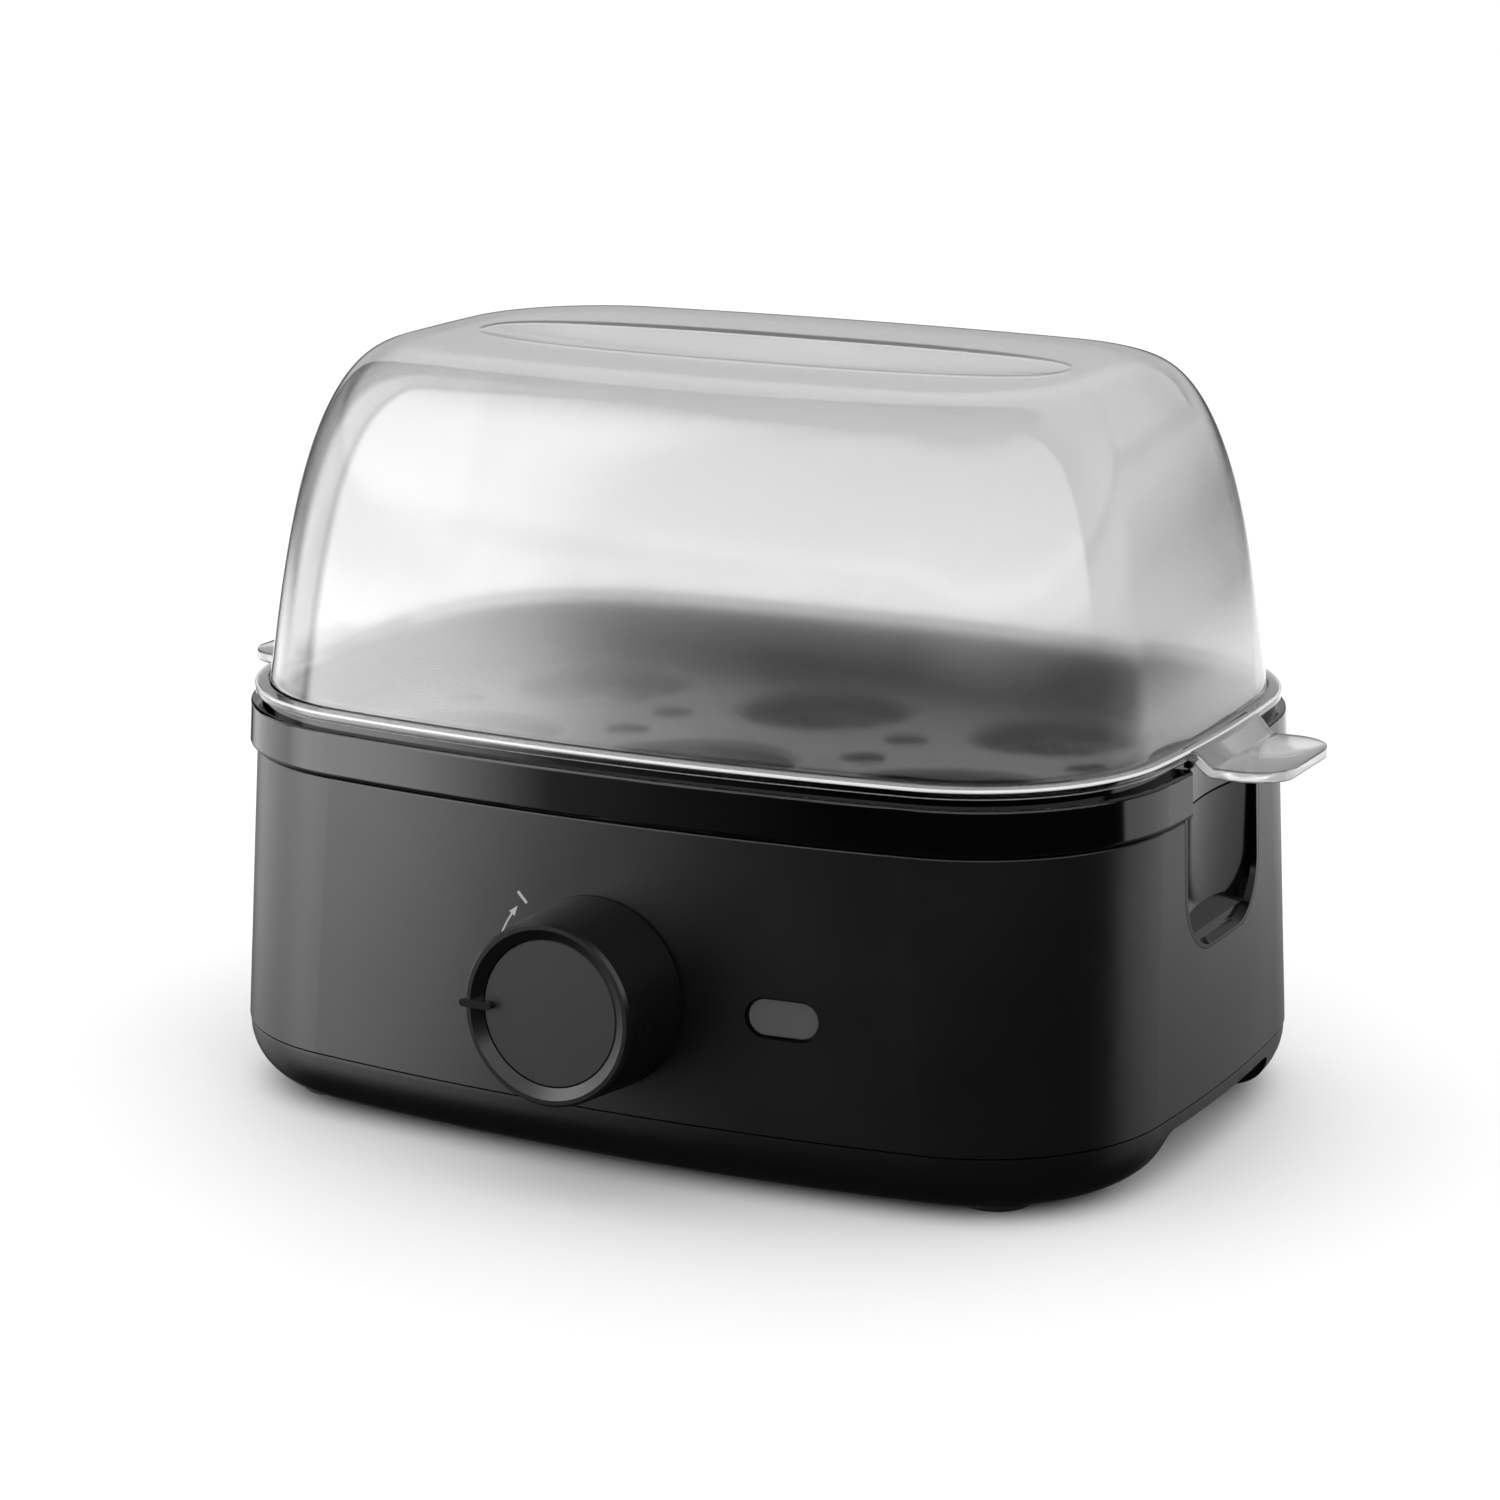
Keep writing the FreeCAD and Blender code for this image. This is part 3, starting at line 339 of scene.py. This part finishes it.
def dome_skin(wall):
    """Rings of one skin of the dome, from its root over the shoulder and into the hollow."""
    rings = [dome_ring(t, wall) for t in 1 - (1 - np.linspace(0, 1, 44)) ** 1.7]
    rim, top = rings[-1], LID_TOP_Z - wall
    edge = trough_ring(rim, 1.0, top)
    rings += [rim + (edge - rim) * k for k in (0.25, 0.55, 0.8, 0.93, 0.985)]
    for scale in (1.0, 0.985, 0.95, 0.88, 0.78, 0.66, 0.52, 0.38, 0.24, 0.1):
        depth = TROUGH_LIP + (TROUGH_DEPTH - TROUGH_LIP) * (1 - scale**2)
        rings.append(trough_ring(rim, scale, top - depth))
    return rings


def level_ring(spec, inset, z):
    """Ring of an outline (half length, half width, corner radius) at one height."""
    flat = outline(*spec, inset)
    return np.column_stack([flat, np.full(len(flat), z)])


def lid_body():
    """Dome and flange as one closed skin: down the inside, round the flange, up the outside."""
    inner, outer = dome_skin(LID_T), dome_skin(0.0)
    rings = inner[::-1]
    # each step is (inset from the outline, height above the flange's underside)
    inner_foot = ((LID_T, 1.0), (LID_T, 0.4), (LID_T - 0.12, 0.12), (LID_T - 0.4, 0.0))
    flange_side = (
        (0.5, 0.0), (0.15, 0.08), (0.0, 0.3), (0.0, 1.35), (0.12, 1.7), (0.4, 1.93), (0.8, 2.0),
    )
    outer_foot = ((-1.0, 2.0), (-0.5, 2.1), (-0.15, 2.4))
    for spec, steps in ((LID_ROOT, inner_foot), (LID_FLANGE, flange_side), (LID_ROOT, outer_foot)):
        rings += [level_ring(spec, inset, FLANGE_Z0 + up) for inset, up in steps]
    rings += outer[2:]
    verts = np.vstack(rings)
    faces = bridge(rings)
    n = len(rings[0])
    for ring_start, flip in ((0, True), (len(verts) - n, False)):
        centre = len(verts)
        z = rings[0][0][2] if flip else rings[-1][0][2]
        verts = np.vstack([verts, [0, 0, z]])
        for j in range(n):
            k = (j + 1) % n
            tri = (ring_start + j, ring_start + k, centre)
            faces.append(tri[::-1] if flip else tri)
    return verts, faces


def tab_mesh(side):
    """Finger tab: a rounded plate that steps down from the flange and runs out level."""
    nose_x = TAB_REACH - TAB_NOSE
    spine = [(x, FLANGE_MID_Z) for x in (TAB_STEP_X0 - 2, TAB_STEP_X0 - 1, TAB_STEP_X0)]
    for t in np.linspace(0, 1, 15)[1:]:
        fall = (FLANGE_MID_Z - TAB_Z) * t * t * (3 - 2 * t)
        spine.append((TAB_STEP_X0 + (TAB_STEP_X1 - TAB_STEP_X0) * t, FLANGE_MID_Z - fall))
    spine += [(TAB_STEP_X1 + (nose_x - TAB_STEP_X1) * t, TAB_Z) for t in np.linspace(0, 1, 8)[1:]]
    spine += [(nose_x + TAB_NOSE * math.sin(a), TAB_Z) for a in np.linspace(0, math.pi / 2, 20)[1:]]
    rings = []
    for i, (x, z) in enumerate(spine):
        before, after = spine[max(i - 1, 0)], spine[min(i + 1, len(spine) - 1)]
        slope = math.atan2(after[1] - before[1], after[0] - before[0])
        # a little wider at the flange, rounded off at the nose, and thinner at its very tip
        width = TAB_HALF_WIDTH + 1.2 * max(0.0, min(1.0, (111.0 - x) / 4.0))
        into = max(0.0, x - nose_x) / TAB_NOSE
        width -= TAB_NOSE * (1 - math.sqrt(max(0.0, 1 - into * into)))
        half = (1.0 if x < 107 else TAB_T / 2) * (1.0 - 0.35 * max(0.0, (into - 0.97) / 0.03))
        corner = min(TAB_SMALL_R, half * 0.9)
        loop = []
        for cy, cz, start in ((1, 1, 0), (-1, 1, 90), (-1, -1, 180), (1, -1, 270)):
            for a in np.radians(np.linspace(start, start + 90, 6)):
                py = cy * (width - corner) + corner * math.cos(a)
                pz = cz * (half - corner) + corner * math.sin(a)
                loop.append((side * (x - pz * math.sin(slope)), py, z + pz * math.cos(slope)))
        rings.append(np.array(loop))
    return np.vstack(rings), bridge(rings) + end_caps(rings)


def painted_flange_highlight():
    """Thin strip over the flange's outer edge in a mostly opaque white: a painted highlight for the
    bright line of light along its polished edge.
    """
    steps = ((0.75, 1.45), (0.05, 1.45), (-0.04, 1.6), (-0.03, 1.85), (0.15, 2.03), (0.75, 2.03))
    rings = [level_ring(LID_FLANGE, inset, FLANGE_Z0 + up) for inset, up in steps]
    return np.vstack(rings), bridge_loop(rings)


def vent_cutter():
    """Slot-shaped prism for the steam vent."""
    end_x = VENT_HALF_LENGTH - VENT_R
    loop = arc(end_x, VENT_Y, VENT_R, -math.pi / 2, math.pi / 2, 16)
    loop += arc(-end_x, VENT_Y, VENT_R, math.pi / 2, 3 * math.pi / 2, 16)
    rings = [np.array([(px, py, z) for px, py in loop]) for z in VENT_CUT]
    return np.vstack(rings), bridge(rings) + end_caps(rings)


def recalculated(obj):
    """Makes every face point outwards."""
    bm = bmesh.new()
    bm.from_mesh(obj.data)
    bmesh.ops.recalc_face_normals(bm, faces=bm.faces)
    bm.to_mesh(obj.data)
    bm.free()
    return obj


def cut_away(obj, tool):
    """Cuts the tool's shape out of the object and deletes the tool."""
    modifier = obj.modifiers.new("cut", "BOOLEAN")
    modifier.operation, modifier.object, modifier.solver = "DIFFERENCE", tool, "EXACT"
    made = bpy.data.meshes.new_from_object(obj.evaluated_get(bpy.context.evaluated_depsgraph_get()))
    obj.modifiers.clear()
    obj.data = made
    bpy.data.objects.remove(tool)


def solid_object(name, shape, material):
    """Closed piece from vertices in millimetres and faces, with every face pointing outwards."""
    verts, faces = shape
    return recalculated(mesh_object(name, to_metres(verts), faces, MATERIALS[material]))


def build_lid():
    """Dome, two tabs and a painted highlight strip on the flange's edge; dome, tabs and flange are
    one moulding on the real object.
    """
    lid = solid_object("lid_clear_dome", lid_body(), "lid_clear")
    cut_away(lid, solid_object("vent", vent_cutter(), "lid_clear"))
    for face in lid.data.polygons:
        face.use_smooth = True
    lid.data.set_sharp_from_angle(angle=math.radians(35))
    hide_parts("lid")
    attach(lid, "lid")
    for side, name in ((-1, "left"), (1, "right")):
        tab = solid_object("lid_tab_" + name, tab_mesh(side), "tab_frost")
        tab.data.set_sharp_from_angle(angle=math.radians(40))
        # the outer side faces get the paler material: a painted highlight along the tab's edges
        tab.data.materials.append(MATERIALS["tab_painted_highlight"])
        for face in tab.data.polygons:
            face.material_index = int(abs(face.normal.z) < 0.35 and abs(face.center.x) > TAB_HIGHLIGHT_X)
        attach(tab, "lid")
    # painted highlight: a white strip laid over the flange's outer edge
    edge = solid_object("lid_flange_painted_highlight", painted_flange_highlight(), "painted_edge_highlight")
    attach(edge, "lid")


build_lid()


# ---- printed marks beside the knob ---------------------------------------------------------------
KNOB_Z, SEAM_Z, SHELL_TOP_Z = 40.3, 15.1, 76.8
HALF_WIDTH, SHELL_TAPER = 78.7, 2.3
INK_BACK, INK_FRONT = -0.03, 0.04  # the ink's two faces, sunk in and proud of the wall


def front_y(x, z):
    """Y of the shell's front face, mm about the middle of the housing."""
    half_width = HALF_WIDTH - SHELL_TAPER * (z - SEAM_Z) / (SHELL_TOP_Z - SEAM_Z)
    return -half_width + SIDE_R - math.sqrt(SIDE_R**2 - x * x)


def printed_mark(name, loops):
    """Thin ink layer on the front face, made of flat strips given as left and right edge points."""
    verts, faces = [], []
    for left, right in loops:
        start, n = len(verts), len(left)
        for lift in (INK_BACK, INK_FRONT):
            for side in (left, right):
                verts += [(x, front_y(x, KNOB_Z + z) - lift, KNOB_Z + z) for x, z in side]
        a, b, c, d = (start + k * n for k in range(4))
        for j in range(n - 1):
            for p, q in ((a, b), (d, c), (b, d), (c, a)):
                faces.append((p + j, p + j + 1, q + j + 1, q + j))
        for j in (0, n - 1):
            faces.append((a + j, b + j, d + j, c + j))
    ink = MATERIALS["print_grey"]
    mark = recalculated(mesh_object(name, to_metres(verts), faces, ink, smooth=False))
    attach(mark, "housing")


def polar(r, degrees):
    """Point at this radius and angle about the knob's centre."""
    a = math.radians(degrees)
    return (r * math.cos(a), r * math.sin(a))


def build_marks():
    """A turning arrow and the tick that it points to, in millimetres and degrees."""
    sweep = np.linspace(169, 145.5, 24)
    shaft = ([polar(24.55, a) for a in sweep], [polar(24.95, a) for a in sweep])
    head = ([polar(23.95, 145.6), polar(24.7, 140.4)], [polar(25.55, 145.6), polar(24.8, 140.4)])
    printed_mark("mark_turn_arrow", [shaft, head])
    tick = ([polar(23.7, 135.8), polar(26.8, 135.7)], [polar(23.7, 134.2), polar(26.8, 134.3)])
    printed_mark("mark_on_tick", [tick])


build_marks()


# ---- floor, light and camera, in metres ----------------------------------------------------------
FLOOR_HALF = 12.0
BACKDROP_R, BACKDROP_TOP = 11.5, 2.5

# Shares of a card's glow by height. The lid's walls lean back, so they mirror the upper part of a
# card, and the housing mirrors the lower part.
HOUSING_LOW = [(-0.45, 0.0), (-0.13, 0.45), (-0.07, 1.0), (0.03, 1.0), (0.09, 0.0)]
HOUSING_REAR = [(-0.45, 0.0), (-0.13, 0.35), (-0.05, 0.9), (0.02, 1.0), (0.06, 0.2), (0.12, 0.0)]
LID_MID = [(0.03, 0.0), (0.09, 1.0), (0.17, 0.7), (0.60, 0.6), (1.20, 0.0)]
LID_TALL = [
    (0.145, 0.0), (0.185, 0.35), (0.22, 0.8), (0.25, 1.0), (0.31, 0.55), (0.80, 0.5), (1.40, 0.0),
]
LID_REAR = [(0.12, 0.0), (0.24, 1.0), (1.6, 1.0)]

# Glow round each card by azimuth in degrees: 0 is in front of the object and 90 to its right.
LEFT_ON_HOUSING = [
    (-122, 0.0), (-108, 1.6), (-72, 2.2), (-66, 3.5), (-59, 4.4), (-47, 4.6), (-41, 3.7),
    (-36, 2.2), (-33, 1.3), (-30, 0.35), (-20, 0.12), (-8, 0.0),
]
LEFT_ON_LID = [
    (-72, 0.0), (-66, 5.5), (-47, 6.5), (-38, 6.2), (-32, 4.6), (-28, 2.6), (-24, 1.3), (-12, 0.0),
]
FRONT_ON_LID = [(-30, 0.0), (-24, 1.8), (-12, 2.6), (96, 2.4), (98, 0.0)]
END_ON_LID = [(-98, 0.0), (-90, 2.2), (-76, 2.2), (-70, 0.0)]
RIGHT_AND_REAR = [
    (102, 0.0), (104, 1.3), (130, 1.3), (170, 1.2), (190, 1.3), (232, 1.3), (236, 0.0),
]
REAR_ON_LID = [(100, 0.0), (125, 0.6), (235, 0.6), (262, 0.0)]

CARDS = (
    ("card_left", 0.6, (
        (LEFT_ON_HOUSING, HOUSING_LOW), (LEFT_ON_LID, LID_MID),
        (FRONT_ON_LID, LID_TALL), (END_ON_LID, LID_MID),
    )),
    ("card_right", 0.6, ((RIGHT_AND_REAR, HOUSING_REAR),)),
    ("card_rear_high", 0.9, ((REAR_ON_LID, LID_REAR),)),
)


def reflected_only(obj):
    """The card shows in reflections and nowhere else."""
    obj.visible_camera = obj.visible_diffuse = obj.visible_shadow = False
    obj.visible_transmission = obj.visible_volume_scatter = False


def emissive(name):
    """Material of plain white emission, and its emission node."""
    mat = bpy.data.materials.new(name)
    mat.use_nodes = True
    tree = mat.node_tree
    tree.nodes.clear()
    emission = tree.nodes.new("ShaderNodeEmission")
    output = tree.nodes.new("ShaderNodeOutputMaterial")
    tree.links.new(emission.outputs["Emission"], output.inputs["Surface"])
    return mat, emission


def light_card(name, radius, layers):
    """Curved card whose layers add up; each is (azimuth, glow) pairs and (height, share) pairs."""
    azimuth_ends = [layer[0][i][0] for layer in layers for i in (0, -1)]
    height_ends = [layer[1][i][0] for layer in layers for i in (0, -1)]
    azimuths = np.linspace(min(azimuth_ends), max(azimuth_ends), 120)
    heights = np.linspace(min(height_ends), max(height_ends), 60)
    glow = np.zeros((len(heights), len(azimuths)))
    for around, upright in layers:
        glow += np.outer(np.interp(heights, *zip(*upright)), np.interp(azimuths, *zip(*around)))
    turn = np.radians(azimuths)
    circle = np.column_stack([radius * np.sin(turn), -radius * np.cos(turn)])
    rows = [np.column_stack([circle, np.full(len(turn), z)]) for z in heights]
    mat, emission = emissive(name)
    attribute = mat.node_tree.nodes.new("ShaderNodeAttribute")
    attribute.attribute_name = "glow"
    mat.node_tree.links.new(attribute.outputs["Fac"], emission.inputs["Strength"])
    card = mesh_object(name, np.vstack(rows), bridge(rows, closed=False), mat)
    card.data.attributes.new("glow", "FLOAT", "POINT").data.foreach_set("value", glow.ravel())
    reflected_only(card)


def build_floor():
    """Large pale floor; the wall cards stand in for what it would mirror."""
    m = Material("floor_white", (0.80, 0.80, 0.80), 0.6)
    m.vary_roughness(m.noise(6, 3.0), 0.05)
    verts = [(x * FLOOR_HALF, y * FLOOR_HALF, 0) for x, y in ((-1, -1), (1, -1), (1, 1), (-1, 1))]
    floor = mesh_object("floor", verts, [(0, 1, 2, 3)], m.mat)
    floor.visible_glossy = False


def build_backdrop():
    """White wall round everything, so that no dark band shows above the floor's far end."""
    circle = arc(0, 0, BACKDROP_R, 0, 2 * math.pi, 97)[:-1]
    rings = [np.array([(x, y, z) for x, y in circle]) for z in (-0.01, BACKDROP_TOP)]
    wall = mesh_object("backdrop", np.vstack(rings), bridge(rings), emissive("backdrop_white")[0])
    wall.visible_diffuse = wall.visible_glossy = wall.visible_shadow = False


def build_lights():
    """A faint world, a very soft light overhead, and cards for the reflections."""
    world = bpy.data.worlds.new("studio")
    world.use_nodes = True
    background = world.node_tree.nodes["Background"]
    background.inputs["Color"].default_value = (1, 1, 1, 1)
    background.inputs["Strength"].default_value = 0.02
    bpy.context.scene.world = world
    sky = bpy.data.lights.new("overhead", "SUN")
    sky.angle, sky.energy = math.radians(150), 4.6
    lamp = bpy.data.objects.new("overhead", sky)
    lamp.visible_glossy = False
    bpy.context.scene.collection.objects.link(lamp)
    for name, radius, layers in CARDS:
        light_card(name, radius, layers)


def build_camera():
    """The photograph's viewpoint: 27 degrees to the right, 14 degrees above."""
    azimuth, elevation, distance = math.radians(27.272), math.radians(14.147), 0.92995
    target = to_metres([-3.38, -1.43, 74.54])
    flat = math.cos(elevation)
    back = Vector((math.sin(azimuth) * flat, -math.cos(azimuth) * flat, math.sin(elevation)))
    data = bpy.data.cameras.new("camera")
    data.sensor_width, data.lens = 36.0, 100.9
    data.clip_start, data.clip_end = 0.05, 60
    obj = bpy.data.objects.new("camera", data)
    obj.location = Vector(target) + back * distance
    obj.rotation_mode = "QUATERNION"
    obj.rotation_quaternion = (-back).to_track_quat("-Z", "Y")
    bpy.context.scene.collection.objects.link(obj)
    bpy.context.scene.camera = obj


build_floor()
build_backdrop()
build_lights()
build_camera()
bpy.context.scene.view_settings.view_transform = "Standard"
